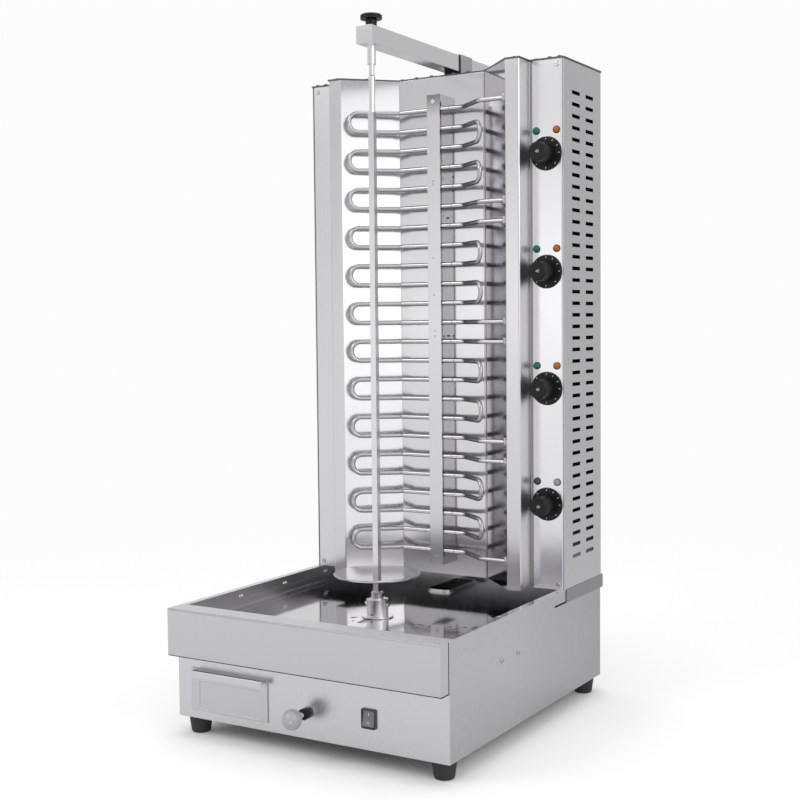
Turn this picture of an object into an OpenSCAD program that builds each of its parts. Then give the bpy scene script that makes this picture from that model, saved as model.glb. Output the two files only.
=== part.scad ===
/* [Body] */
// Width over the side panels
body_w = 512; // [500:2:530]
// Depth from the lower front panel to the rear panel
body_d = 574; // [566:2:596]
// Height of the base box above its feet
base_h = 184; // [180:1:194]
// Height of the tower above the base box
tower_h = 905; // [900:5:930]
// Sheet thickness of the base box
base_t = 1.5; // [1.2:0.1:1.8]
// Sheet thickness of the tower, tray and reflector
skin_t = 1.2; // [1:0.1:1.4]
// Height of the feet
foot_h = 30; // [24:1:36]
// Radius at the top of a foot
foot_r = 20; // [17:1:22]

/* [Apron and tray] */
// How far the apron stands in front of the lower panel
apron_reach = 26; // [22:1:32]
// Height of the apron
apron_h = 79; // [72:1:84]
// Depth of the drip tray below the rim
tray_depth = 33.5; // [30:0.5:36]
// Width of the rim beside the tray
rim_w = 12; // [10:1:14]
// Depth of the flat rim behind the apron edge
front_rim_d = 12; // [8:1:16]
// Depth of the drain opening
drain_d = 110; // [90:2:110]
// Width of the drain opening
drain_w = 44; // [36:2:50]

/* [Tower] */
// Depth of the tower behind the control panel
tower_d = 163.3; // [160:0.1:170]
// How far the flange strips stand in front of the control panel
strip_reach = 40; // [36:1:44]
// Width of each control panel
control_w = 63; // [61:1:66]
// Width of each flange strip
strip_w = 26; // [22:1:30]
// Half width of the reflector back
back_half = 89; // [84:1:94]
// Depth of the reflector behind the flange strips
reflector_d = 75.4; // [70:0.2:86]
// Length of one side slot
slot_l = 33.5; // [28:0.5:36]
// Height of one side slot
slot_h = 6.3; // [5:0.1:8]
// Rise from one slot to the next
slot_pitch = 20; // [19:0.5:21]
// Slots in one column
slot_rows = 41; // [30:1:41]

/* [Heating elements] */
// Radius of the heating tube
tube_r = 4; // [3.5:0.1:4.5]
// Rise from one run to the next
run_pitch = 34.6; // [33:0.1:35.5]
// Centre of the back runs in front of the reflector
back_standoff = 22; // [20:1:30]
// Turn of the side legs away from the back runs
leg_turn = 39; // [36:1:42]
// Half width of the back runs on the left
left_corner = 74; // [70:1:78]
// Half width of the back runs on the right
right_corner = 58; // [54:1:62]
// Leg from the left corner to the bend centre
left_leg = 75; // [70:1:78]
// Leg from the right corner to the bend centre
right_leg = 54; // [50:1:58]

/* [Spit] */
// Distance from the lower front panel to the spit
spit_y = 213; // [205:1:220]
// Side of the square spit rod
rod_w = 10; // [9:0.5:11]
// Radius of the meat disc
disc_r = 73.5; // [60:0.5:85]
// Height of the meat disc above the tray
disc_rise = 71.5; // [66:0.5:80]
// Radius of the drive cup
cup_r = 18.5; // [17:0.5:20]
// Radius of the flange on the tray floor
flange_r = 26.8; // [26:0.2:30]
// Travel of the spit towards the front
pull_travel = 50; // [40:1:50]
// Travel of the spit towards the tower
push_travel = 12; // [8:1:12]

/* [Arm] */
// Width of the arm tube
arm_w = 30; // [28:1:32]
// Height of the arm tube
arm_h = 29; // [26:0.5:30]
// Length of the arm
arm_l = 420; // [400:2:440]
// Gap between the roof and the arm
arm_rise = 12; // [10:0.5:16]
// Radius of the knob on the arm
top_knob_r = 18; // [16:0.5:20]

/* [Controls] */
// Radius of the skirt of a control knob
skirt_r = 29; // [26:0.5:30]
// Radius of the grip of a control knob
grip_r = 17.5; // [16:0.5:19]
// Reach of a control knob from the panel
knob_reach = 38; // [30:1:42]
// Rise from one control set to the next
zone_pitch = 200; // [190:1:204]
// Spread of the two lamps of a set
lamp_spread = 37.3; // [34:0.1:40]
// Radius of a lamp lens
lamp_r = 7; // [6:0.5:8]
// Radius of the ball knob
ball_r = 16; // [14:0.5:18]

/* [Drawer] */
// Width of the drawer front
drawer_w = 154; // [146:1:158]
// Height of the drawer front
drawer_h = 70; // [62:1:72]
// Depth of the drawer box
drawer_d = 560; // [500:5:565]
// Reach of the lip on the drawer front
lip_reach = 16; // [12:1:20]

/* [Hidden] */
$fn = 48;

// Inner radius and steps of every bend in sheet
bend_r = 2;
bend_steps = 5;

// Clearances and the overrun of every cut
over = 1;
slide_gap = 0.3;
fit_gap = 0.05;
seat_gap = 0.1;

// Levels above the floor
rim_z = foot_h + base_h;
flange_z = rim_z - skin_t;
tray_z = rim_z - tray_depth;
tray_under_z = tray_z - skin_t;
apron_z = rim_z - apron_h;
tower_z = rim_z + tower_h;
floor_z = foot_h + base_t;
roof_t = 3;
roof_z = tower_z + roof_t;
arm_z = roof_z + arm_rise;
arm_top = arm_z + arm_h;

// Half widths and depths
tray_end = 12;
control_y = body_d - tower_d;
half_w = body_w / 2;
inner_half = half_w - base_t;
tray_half = half_w - rim_w;
tray_back = body_d - tray_end;
strip_y = control_y - strip_reach;
back_y = strip_y + reflector_d;
strip_out = half_w - control_w;
strip_in = strip_out - strip_w;
wing_turn = atan2(back_y - strip_y, strip_in - back_half);
wing_out = 90 - wing_turn;

// Feet
foot_inset = 24;
foot_inset_y = 26;
foot_foot_r = 16;
foot_round = 3;

// Base shell slit and rear inlet
slit_w = 3;
slit_l = 48;
slit_drop = 20;
slit_set = 8;
slit_y = control_y + slit_set;
inlet_side = 76;
inlet_rise = 45;
inlet_x = inlet_side - half_w;
inlet_z = foot_h + inlet_rise;
gland_r = 9;
gland_nut_r = 14;
gland_nut_l = 8;
gland_dome_l = 12;
gland_dome_r = 11;
gland_bore_r = 4.5;

block_x = 60;
block_back = 104;
block_y = body_d - block_back;
block_w = 60;
block_d = 24;
block_h = 20;
block_poles = 5;
block_screw_r = 2.5;
block_screw_deep = 8;
block_wire_r = 2;

// Apron
apron_gap = 3;
apron_path = [[front_rim_d, rim_z], [-apron_reach, rim_z], [-apron_reach, apron_z], [0, apron_z]];

// Drain collar and chute
drain_x = -10;
drain_back = 78;
drain_y = body_d - drain_back;
drain_round = 12;
collar_t = 3;
collar_rise = 4.5;
collar_lip = 4;
chute_gap = 4;
chute_side = 106;
chute_left = chute_side - half_w;
chute_top = 12;
chute_drop = 52;

// Adjusting rod, bush and ball
rod_rise = 40;
rod_z = foot_h + rod_rise;
adjust_r = 5;
bush_r = 9;
bush_barrel_r = 7;
bush_reach = 8;
bush_back = 8;
ball_y = -37;
ball_bore_l = 10;

// Switch
switch_side = 139;
switch_rise = 49;
switch_x = half_w - switch_side;
switch_z = foot_h + switch_rise;
switch_w = 26;
switch_h = 31;
switch_reach = 3;
switch_back = 28;
switch_wall = 2.6;
switch_inset = 2;
switch_round = 3;
rocker_depth = 9;
rocker_rise = 4;
rocker_dip = 1;
rocker_tilt = -8;
rocker_y = 1;

// Drawer
drawer_side = 106;
drawer_rise = 49;
drawer_x = drawer_side - half_w;
drawer_z = foot_h + drawer_rise;
drawer_lift = 16;
front_t = 2;
box_t = 1;
box_w = 144;
box_h = 50;
panel_gap = 0.3;
emboss_left = 16;
emboss_right = 11;
emboss_foot = 3.5;
emboss_head = 21;
emboss_depth = 1;
emboss_round = 4;
lip_side = 12;
lip_drop = 11;
lip_t = 1.2;
guide_h = 24;
guide_t = 1.5;
guide_in = 12;
guide_start = 10;
guide_end = 14;

// Carriage, rails and drive
rail_x = 70;
rail_t = 2;
rail_foot = 14;
rail_drop = 21;
rail_ahead = 93;
rail_behind = 132;
rail_start = spit_y - rail_ahead;
rail_end = spit_y + rail_behind;
plate_t = 3;
plate_ahead = 48;
plate_front = spit_y - plate_ahead;
plate_l = 120;
skirt_drop = 106;
carriage_skirt_w = 60;
shaft_r = 6;
shaft_bore_gap = 0.05;
shield_w = 60;
shield_l = 150;
shield_t = 1.2;
shield_y = -10;
shield_gap = 0.5;
boss_r = 12;
gearbox_w = 92;
gearbox_l = 84;
gearbox_h = 56;
gearbox_round = 10;
gearbox_front = 3;
shaft_deep = 40;
motor_r = 27;
motor_l = 62;
motor_cap_l = 8;
motor_cap_r = 21;

// Drive cup, foot and pin
flange_lift = 0.5;
flange_t = 2;
cup_h = 28;
cup_floor = 6;
cup_slot_w = 7;
cup_slot_deep = 12;
cup_hole_r = 2;
cup_hole_rise = 3;
foot_sleeve_r = 10.5;
foot_sleeve_h = 34;
foot_lead = 1.5;
cross_r = 3;
cross_l = 46;
cross_rise = 23;

// Spit rod and disc
rod_hole_r = 2;
rod_hole_rises = [82, 90, 872];
rod_round_l = 60;
rod_round_ease = 0.2;
rod_bead_l = 8;
rod_bead_r = 5.9;
rod_tip_l = 3;
rod_tip_r = 4.5;
rod_bore_deep = 9;
rod_bore_r = 2.8;
disc_t = 3;
disc_lead = 1;

// Top arm, sleeve and pin
arm_ahead = 23;
arm_front = spit_y - arm_ahead;
arm_wall = 2;
sleeve_r = 7.1;
sleeve_below = 31;
pin_r = 4.6;
pin_tip_r = 2.5;
pin_tip_l = 6;
pin_show = 18;
pin_gap = 0.5;
hub_r = 9.5;
hub_h = 13;
disc_h = 8;
knob_edge = 1.5;
flutes = 30;
flute_r = 1.1;
bracket_set = 81.3;
bracket_y = control_y + bracket_set;
bracket_l = 42.5;
bracket_t = 1.2;
bracket_side = 2;
bracket_over = 1.5;
bracket_foot = 14;
bracket_screw = 8;

// Tower details
roof_over = 1;
slot_first = 36.2;
panel_fold = 14;
lip_fold = 5;
lip_gap = 0.2;
slot_gap = 25.6;
slot_drop = 51.5;
tab_l = 16;
band_t = 1.2;
band_h = 23;
band_back = 8;

// Elements
runs = 6;
run_drop = 61.5;
corner_r = 16;
elbow_r = 12;
bend_lap = 0.5;
bend_slim = 0.1;
bend_tube_r = tube_r - bend_slim;
elbow_leg = 65;
tail_l = 25;
washer_r = 8;
washer_t = 2;
hole_gap = 1;
channel_w = 26;
strip_t = 2;
strip_front_gap = 0.1;
notch_gap = 0.15;
channel_gap = 5;
channel_over = 26;

// Control sets
dial_drop = 157.4;
lamp_rise = 39;
spindle_r = 4;
spindle_hole_r = 5;
spindle_l = 22;
skirt_t = 3;
skirt_edge = 1;
knob_gap = 0.4;
collar_grip_r = 20.5;
collar_grip_h = 2.5;
grip_top_r = 16.4;
grip_cap_r = 14;
grip_cap_h = 2;
pointer_w = 2;
pointer_deep = 0.8;
lens_h = 7.5;
lens_dome = 4;
lamp_barrel_r = 4.4;
lamp_barrel_l = 22;
regulator_w = 40;
regulator_h = 44;
regulator_l = 30;
regulator_bore_l = 20;

// Screws
screw_r = 4.5;
screw_head_h = 2.2;
screw_recess_r = 1.7;
screw_recess_deep = 1;
roof_screw_edge = 5;
roof_screw_side = 9;
roof_screw_places = [
    [back_half / 4, back_y + skin_t + roof_screw_edge],
    [back_half * 3 / 5, back_y + skin_t + roof_screw_edge],
    [back_half - roof_screw_side / 3, back_y + skin_t + roof_screw_side],
    [(back_half + strip_in) / 2 + roof_screw_side, (back_y + strip_y) / 2 + roof_screw_edge],
    [(strip_in + strip_out) / 2, strip_y + roof_screw_side],
    [strip_out + roof_screw_side, control_y + roof_screw_side],
    [half_w - 3 * roof_screw_side, control_y + roof_screw_edge],
    [half_w - roof_screw_side, control_y + roof_screw_edge],
    [half_w - roof_screw_side, body_d - roof_screw_side]];
control_screw_inset = 12;
control_screw_rise = 9;
side_screw_y = 170;
side_screw_step = 59;
side_screw_rise = 117;
side_screw_z = foot_h + side_screw_rise;

// Everything stands centred over the origin
front_reach = ball_r - ball_y;
rear_reach = max(arm_front + arm_l, body_d + gland_dome_l);
shift_y = (front_reach - rear_reach) / 2;

module placed() {
    translate([0, shift_y, 0]) children();
}

module block(x0, x1, y0, y1, z0, z1) {
    translate([x0, y0, z0]) cube([x1 - x0, y1 - y0, z1 - z0]);
}

module rod_up(r, z0, z1, x = 0, y = 0) {
    translate([x, y, z0]) cylinder(r = r, h = z1 - z0);
}

module rod_back(r, y0, y1, x = 0, z = 0) {
    translate([x, y0, z]) rotate([-90, 0, 0]) cylinder(r = r, h = y1 - y0);
}

module rod_across(r, x0, x1, y = 0, z = 0) {
    translate([x0, y, z]) rotate([0, 90, 0]) cylinder(r = r, h = x1 - x0);
}

module rounded(w, d, r) {
    for (sx = [-1, 1], sy = [-1, 1]) translate([sx * (w / 2 - r), sy * (d / 2 - r)]) circle(r);
    square([w, d - 2 * r], center = true);
    square([w - 2 * r, d], center = true);
}

module on_both_sides() {
    children();
    mirror([1, 0, 0]) children();
}

// An outline of even thickness t along a folded path, on the left of its direction, with round bends
function unit(v) = v / norm(v);
function left_of(v) = [-v[1], v[0]];
function way(p, i) = unit(p[i + 1] - p[i]);
function turned(v, a) = [v[0] * cos(a) - v[1] * sin(a), v[0] * sin(a) + v[1] * cos(a)];
function bend_side(p, i) = sign(cross(way(p, i - 1), way(p, i)));
function bend_angle(p, i) = acos(way(p, i - 1) * way(p, i));
function face_r(p, i, t) = bend_side(p, i) * t > 0 ? bend_r + abs(t) : bend_r;
function bend_centre(p, i, t) = p[i] - way(p, i - 1) * face_r(p, i, t) * tan(bend_angle(p, i) / 2)
    + left_of(way(p, i - 1)) * bend_side(p, i) * face_r(p, i, t);
function bend_face(p, i, t, off) = [for (k = [0:bend_steps]) bend_centre(p, i, t)
    - turned(left_of(way(p, i - 1)), bend_side(p, i) * bend_angle(p, i) * k / bend_steps)
    * (bend_side(p, i) * face_r(p, i, t) - off)];
function face(p, t, off) = concat([p[0] + left_of(way(p, 0)) * off],
    [for (i = [1:len(p) - 2]) each bend_face(p, i, t, off)],
    [p[len(p) - 1] + left_of(way(p, len(p) - 2)) * off]);
function backwards(p) = [for (i = [len(p) - 1:-1:0]) p[i]];

module sheet(p, t) {
    polygon(concat(face(p, t, 0), backwards(face(p, t, t))));
}

// Base box

module base_shell() {
    color("silver") placed() difference() {
        translate([0, 0, foot_h]) linear_extrude(flange_z - foot_h)
            sheet([[half_w, base_t], [half_w, body_d], [-half_w, body_d], [-half_w, base_t]], base_t);
        on_both_sides() {
            block(inner_half - over, half_w + over, slit_y - slit_l, slit_y, rim_z - slit_drop - slit_w,
                rim_z - slit_drop);
            block(inner_half - over, half_w + over, slit_y - slit_w, slit_y, rim_z - slit_drop - slit_w,
                flange_z + over);
        }
        rod_back(gland_r + seat_gap, body_d - base_t - over, body_d + over, inlet_x, inlet_z);
    }
}

module base_bottom() {
    depth = body_d - 2 * base_t;
    color("gray") placed() translate([0, base_t + depth / 2, foot_h]) linear_extrude(base_t)
        rounded(2 * inner_half, depth, bend_r + base_t);
}

module front_panel() {
    color("silver") placed() difference() {
        block(-half_w, half_w, 0, base_t, foot_h, flange_z);
        block(drawer_x - box_w / 2 - slide_gap, drawer_x + box_w / 2 + slide_gap, -over, base_t + over,
            box_z - slide_gap, box_z + box_h + slide_gap);
        rod_back(bush_barrel_r + seat_gap, -over, base_t + over, 0, rod_z);
        block(switch_x - switch_body_w / 2 - seat_gap, switch_x + switch_body_w / 2 + seat_gap, -over,
            base_t + over, switch_z - switch_body_h / 2 - seat_gap, switch_z + switch_body_h / 2 + seat_gap);
    }
}

// Apron: rim, front and bottom return folded from one sheet, closed by a cap at each end
module apron_side() {
    intersection() {
        translate([-apron_reach, apron_z]) square([apron_reach - apron_gap, apron_h]);
        polygon(face(apron_path, skin_t, 0));
    }
}

module apron() {
    color("silver") placed() translate([-half_w, 0, 0]) rotate([90, 0, 90]) {
        linear_extrude(body_w) sheet(apron_path, skin_t);
        for (x = [0, body_w - skin_t]) translate([0, 0, x]) linear_extrude(skin_t) apron_side();
    }
}

module drip_tray() {
    out = tray_half + skin_t;
    color("gainsboro") placed() difference() {
        union() {
            block(-out, out, front_rim_d - skin_t, tray_back + skin_t, tray_under_z, flange_z);
            on_both_sides() block(tray_half, half_w, front_rim_d, body_d - skin_t, flange_z, rim_z);
        }
        block(-tray_half, tray_half, front_rim_d, tray_back, tray_z, rim_z + over);
        translate([drain_x, drain_y, tray_under_z - over]) linear_extrude(skin_t + 2 * over)
            rounded(drain_w + 2 * (collar_t + seat_gap), drain_d + 2 * (collar_t + seat_gap),
                drain_round + collar_t + seat_gap);
        translate([0, slot_mid_y, tray_under_z - over]) linear_extrude(skin_t + 2 * over)
            rounded(slot_width, slot_len, slot_width / 2 - seat_gap);
    }
}

slot_margin = 1;
slot_width = 2 * (shaft_r + slot_margin);
slot_len = slot_width + pull_travel + push_travel;
slot_mid_y = spit_y + (push_travel - pull_travel) / 2;

module drain_ring(grow) {
    rounded(drain_w + 2 * grow, drain_d + 2 * grow, drain_round + grow);
}

module drain_collar() {
    color("lightgray") placed() translate([drain_x, drain_y, 0]) difference() {
        union() {
            translate([0, 0, tray_under_z]) linear_extrude(skin_t + collar_rise) drain_ring(collar_t);
            translate([0, 0, tray_z]) linear_extrude(skin_t) drain_ring(collar_t + collar_lip);
        }
        translate([0, 0, tray_under_z - over]) linear_extrude(skin_t + collar_rise + 2 * over) drain_ring(0);
    }
}

// Chute: two cheeks and a sloping floor under the drain
chute_half = drain_d / 2 + collar_t + chute_gap;
chute_right = drain_x + drain_w / 2 + collar_t + chute_gap;

module drain_chute() {
    fall = [[chute_right, tray_under_z], [chute_right, tray_under_z - chute_top],
        [chute_left, tray_under_z - chute_top - chute_drop]];
    cheek = concat(fall, [[chute_left, tray_under_z - chute_drop], [drain_x - drain_w, tray_under_z]]);
    color("silver") placed() translate([0, drain_y, 0]) rotate([90, 0, 0]) {
        for (s = [-1, 1]) translate([0, 0, s * (chute_half - skin_t / 2) - skin_t / 2])
            linear_extrude(skin_t) polygon(cheek);
        translate([0, 0, -chute_half]) linear_extrude(2 * chute_half)
            sheet([fall[2], fall[1], fall[0]], skin_t);
    }
}

guide_gap = 1;
guide_x = box_w / 2 + slide_gap + guide_gap;

module drawer_guides() {
    color("gray") placed() for (s = [-1, 1]) translate([drawer_x, 0, 0]) scale([s, 1, 1]) {
        block(guide_x, guide_x + guide_t, guide_start, body_d - guide_end, floor_z, floor_z + guide_h);
        block(guide_x - guide_in, guide_x, guide_start, body_d - guide_end, box_z - slide_gap - guide_t,
            box_z - slide_gap);
    }
}

module carriage_rails() {
    color("gray") placed() on_both_sides() translate([0, rail_end, 0]) rotate([90, 0, 0])
        linear_extrude(rail_end - rail_start)
            sheet([[rail_x + rail_foot, tray_under_z - rail_t], [rail_x, tray_under_z - rail_t],
                [rail_x, tray_under_z - rail_drop], [rail_x - rail_foot, tray_under_z - rail_drop]], -rail_t);
}

module rod_bush() {
    color("black") placed() difference() {
        union() {
            rod_back(bush_r, -bush_reach, 0, 0, rod_z);
            rod_back(bush_barrel_r, 0, base_t + bush_back, 0, rod_z);
        }
        rod_back(adjust_r + fit_gap, -bush_reach - over, base_t + bush_back + over, 0, rod_z);
    }
}

switch_body_w = switch_w - 2 * switch_inset;
switch_body_h = switch_h - 2 * switch_inset;
rocker_w = switch_w - 2 * switch_wall;
rocker_h = switch_h - 2 * switch_wall;

module switch_bezel() {
    color("black") placed() translate([switch_x, 0, switch_z]) difference() {
        union() {
            rotate([90, 0, 0]) linear_extrude(switch_reach) rounded(switch_w, switch_h, switch_round);
            block(-switch_body_w / 2, switch_body_w / 2, 0, switch_back, -switch_body_h / 2,
                switch_body_h / 2);
        }
        block(-rocker_w / 2, rocker_w / 2, -switch_reach - over, rocker_depth + rocker_rise, -rocker_h / 2,
            rocker_h / 2);
    }
}

module feet() {
    color("black") placed() for (sx = [-1, 1], y = [foot_inset_y, body_d - foot_inset_y])
        translate([sx * (half_w - foot_inset), y, 0]) rotate_extrude() polygon([
            [0, 0], [foot_foot_r - foot_round, 0], [foot_foot_r - foot_round / 3, foot_round / 3],
            [foot_foot_r, foot_round], [foot_r, foot_h], [0, foot_h]]);
}

module cable_gland() {
    color("black") placed() difference() {
        union() {
            translate([inlet_x, body_d, inlet_z]) rotate([-90, 0, 0])
                cylinder(r = gland_nut_r, h = gland_nut_l, $fn = 6);
            rod_back(gland_dome_r, body_d + gland_nut_l, body_d + gland_dome_l, inlet_x, inlet_z);
            rod_back(gland_r, body_d - base_t - gland_nut_l, body_d, inlet_x, inlet_z);
            rod_back(gland_nut_r, body_d - base_t - gland_nut_l, body_d - base_t, inlet_x, inlet_z);
        }
        rod_back(gland_bore_r, body_d - base_t - gland_nut_l - over, body_d + gland_dome_l + over, inlet_x,
            inlet_z);
    }
}

module terminal_block() {
    color("ivory") placed() translate([block_x, block_y, floor_z]) difference() {
        block(0, block_w, 0, block_d, 0, block_h);
        for (i = [0:block_poles - 1]) {
            x = (i + 1 / 2) * block_w / block_poles;
            rod_up(block_screw_r, block_h - block_screw_deep, block_h + over, x, block_d / 2);
            rod_back(block_wire_r, -over, block_d + over, x, block_h / 3);
        }
    }
}

// Tower

side_y = control_y + skin_t;

module side_slots() {
    for (c = [0, 1], i = [0:slot_rows - 1])
        translate([slot_first + c * (slot_l + slot_gap), tower_h - slot_drop - i * slot_pitch - slot_h / 2])
            square([slot_l, slot_h]);
}

// Drawn in the plane of its length and height, then stood upright
module tower_side() {
    translate([half_w - skin_t, control_y, rim_z]) rotate([90, 0, 90]) linear_extrude(skin_t) difference() {
        square([tower_d, tower_h]);
        side_slots();
    }
}

module tower_side_right() {
    color("silver") placed() tower_side();
}

module tower_side_left() {
    color("silver") placed() mirror([1, 0, 0]) tower_side();
}

dial_x = half_w - control_w / 2;
function dial_z(i) = tower_z - dial_drop - i * zone_pitch;
zones = [0:3];

module panel_blank() {
    translate([0, 0, rim_z]) linear_extrude(tower_h)
        sheet([[strip_out + lip_fold + lip_gap, control_y], [half_w - skin_t, control_y],
            [half_w - skin_t, control_y + panel_fold]], skin_t);
}

module control_panel() {
    color("silver") placed() difference() {
        panel_blank();
        for (i = zones) {
            rod_back(spindle_hole_r, control_y - over, side_y + over, dial_x, dial_z(i));
            for (s = [-1, 1]) rod_back(lamp_barrel_r + seat_gap, control_y - over, side_y + over,
                dial_x + s * lamp_spread / 2, dial_z(i) + lamp_rise);
        }
    }
}

module plain_panel() {
    color("silver") placed() mirror([1, 0, 0]) panel_blank();
}

module rear_panel() {
    color("silver") placed()
        block(skin_t - half_w, half_w - skin_t, body_d - skin_t, body_d, flange_z, tower_z);
}

module roof() {
    right = [[back_half, back_y + skin_t], [strip_in, strip_y - roof_over],
        [strip_out + roof_over, strip_y - roof_over],
        [strip_out + roof_over, control_y - roof_over], [half_w + roof_over, control_y - roof_over],
        [half_w + roof_over, body_d + roof_over]];
    left = [for (i = [len(right) - 1:-1:0]) [-right[i][0], right[i][1]]];
    color("dimgray") placed() translate([0, 0, tower_z]) linear_extrude(roof_t) polygon(concat(right, left));
}

module joint_band() {
    color("silver") placed() translate([0, 0, rim_z - band_h]) linear_extrude(band_h)
        sheet([[half_w, slit_y], [half_w, body_d + band_back], [-half_w, body_d + band_back],
            [-half_w, slit_y]], -band_t);
}

// Reflector

module reflector_back() {
    half = back_half - skin_t - bend_r;
    color("whitesmoke") placed() block(-half, half, back_y, back_y + skin_t, rim_z, tower_z);
}

// Where a wing's face meets the plane behind the reflector back
tab_x = back_half - skin_t / tan(wing_turn);

module wing() {
    translate([0, 0, rim_z]) linear_extrude(tower_h)
        sheet([[strip_out + lip_fold, control_y], [strip_out, control_y], [strip_out, strip_y],
            [strip_in, strip_y], [tab_x, back_y + skin_t], [tab_x - tab_l, back_y + skin_t]], -skin_t);
}

module reflector_right() {
    color("whitesmoke") placed() difference() {
        wing();
        for (e = zones, k = [0, runs - 1]) through_wing(e, k, tube_r + hole_gap);
    }
}

module reflector_left() {
    color("whitesmoke") placed() mirror([1, 0, 0]) wing();
}

// Heating elements: each run goes round both corners, and bends join the runs in pairs

run_y = back_y - back_standoff;
function run_z(e, k) = tower_z - run_drop - (e * runs + k) * run_pitch;
corner_cut = corner_r * tan(leg_turn / 2);
leg_dir = [cos(leg_turn), -sin(leg_turn), 0];
function corner_point(x) = [x, run_y, 0];
elbow_start = corner_point(right_corner) + leg_dir * elbow_leg;
elbow_end = elbow_start + elbow_r * [sin(leg_turn), cos(leg_turn) - 1, 0];
wing_point = [back_half + (back_y - elbow_end[1]) / tan(wing_turn), elbow_end[1], 0];
wing_dir = [-cos(wing_turn), sin(wing_turn), 0];

// Cuts along a terminal, long enough for the slant of the wing
module through_wing(e, k, r) {
    reach = r * tan(wing_out) + (skin_t + washer_t) / cos(wing_out) + over;
    translate(wing_point + [0, 0, run_z(e, k)]) rod_across(r, -reach, reach);
}

// Straight lengths reach into the bends, whose tube is a little thinner
module leg_run(corner_x, leg) {
    translate([corner_x - corner_cut, run_y - corner_r, 0]) rotate([0, 0, 90 - leg_turn])
        rotate_extrude(angle = leg_turn) translate([corner_r, 0]) circle(bend_tube_r);
    translate(corner_point(corner_x) + leg_dir * (corner_cut - bend_lap)) rotate([0, 0, -leg_turn])
        rotate([0, 90, 0]) cylinder(r = tube_r, h = leg - corner_cut + 2 * bend_lap);
}

module end_bend(corner_x, leg) {
    translate(corner_point(corner_x) + leg_dir * leg - [0, 0, run_pitch / 2]) rotate([0, 0, -leg_turn])
        rotate([90, 0, 0]) rotate([0, 0, -90]) rotate_extrude(angle = 180) translate([run_pitch / 2, 0])
            circle(bend_tube_r);
}

module terminal() {
    leg_run(right_corner, elbow_leg);
    translate(elbow_start + elbow_r * [sin(leg_turn), cos(leg_turn), 0]) rotate([0, 0, -90 - leg_turn])
        rotate_extrude(angle = leg_turn) translate([elbow_r, 0]) circle(bend_tube_r);
    translate(elbow_end) rod_across(tube_r, -bend_lap, wing_point[0] - elbow_end[0] + tail_l);
}

module heating_element(e) {
    color("dimgray") placed() for (k = [0:runs - 1]) translate([0, 0, run_z(e, k)]) {
        rod_across(tube_r, corner_cut - left_corner - bend_lap, right_corner - corner_cut + bend_lap, run_y);
        mirror([1, 0, 0]) leg_run(left_corner, left_leg);
        if (k == 0 || k == runs - 1) terminal(); else leg_run(right_corner, right_leg);
        if (k % 2 == 0) mirror([1, 0, 0]) end_bend(left_corner, left_leg);
        if (k % 2 == 1 && k < runs - 1) end_bend(right_corner, right_leg);
    }
}

module heating_element_1() heating_element(0);
module heating_element_2() heating_element(1);
module heating_element_3() heating_element(2);
module heating_element_4() heating_element(3);

// Washers flat on the wing, each round the slanting tube
module element_collars() {
    color("silver") placed() for (e = zones, k = [0, runs - 1]) difference() {
        translate(wing_point + wing_dir * washer_t * tan(wing_out) / 2 + [0, 0, run_z(e, k)])
            rotate([0, 0, wing_out]) rod_across(washer_r, -washer_t, 0);
        through_wing(e, k, tube_r + seat_gap);
    }
}

top_run = run_z(0, 0);
last_run = run_z(3, runs - 1);
strip_back_y = run_y - tube_r - strip_front_gap;

// The flanges are drawn from the side, notched round every run; only their ends reach the strip
module element_channel() {
    height = top_run - last_run + 2 * channel_over;
    color("silver") placed() {
        block(-channel_w / 2, channel_w / 2, back_y - skin_t, back_y, last_run - channel_over,
            top_run + channel_over);
        for (s = [-1, 1]) translate([s * (channel_w - skin_t) / 2 - skin_t / 2, 0, 0]) rotate([90, 0, 90])
            linear_extrude(skin_t) difference() {
                translate([strip_back_y, last_run - channel_over])
                    square([back_y - skin_t - strip_back_y, height]);
                translate([strip_back_y - over, last_run - channel_over / 2])
                    square([channel_gap + over, height - channel_over]);
                for (e = zones, k = [0:runs - 1]) translate([run_y, run_z(e, k)])
                    circle(tube_r + notch_gap);
            }
    }
}

module element_strip() {
    color("silver") placed() difference() {
        block(-channel_w / 2, channel_w / 2, strip_back_y - strip_t, strip_back_y, last_run - channel_over,
            top_run + channel_over);
        for (z = [last_run - channel_over / 2, top_run + channel_over / 2])
            rod_back(screw_recess_r + seat_gap, strip_back_y - strip_t - over, strip_back_y + over, 0, z);
    }
}

// Control sets

module regulators() {
    color("ivory") placed() for (i = zones) difference() {
        block(dial_x - regulator_w / 2, dial_x + regulator_w / 2, side_y, side_y + regulator_l,
            dial_z(i) - regulator_h / 2, dial_z(i) + regulator_h / 2);
        rod_back(spindle_r + fit_gap, side_y - over, side_y + regulator_bore_l, dial_x, dial_z(i));
    }
}

module lamp(s, i) {
    translate([dial_x + s * lamp_spread / 2, control_y, dial_z(i) + lamp_rise]) rotate([90, 0, 0]) {
        cylinder(r = lamp_r, h = lens_h - lens_dome);
        translate([0, 0, lens_h - lens_dome]) cylinder(r1 = lamp_r, r2 = lamp_barrel_r, h = lens_dome);
        translate([0, 0, -lamp_barrel_l]) cylinder(r = lamp_barrel_r, h = lamp_barrel_l);
    }
}

module lamps_green() {
    color("green") placed() for (i = zones) lamp(-1, i);
}

module lamps_amber() {
    color("orange") placed() for (i = zones) lamp(1, i);
}

module fluted(r, count, cut_r) {
    difference() {
        circle(r);
        for (i = [0:count - 1]) rotate(i * 360 / count) translate([r + cut_r / 2, 0]) circle(cut_r, $fn = 16);
    }
}

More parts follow.
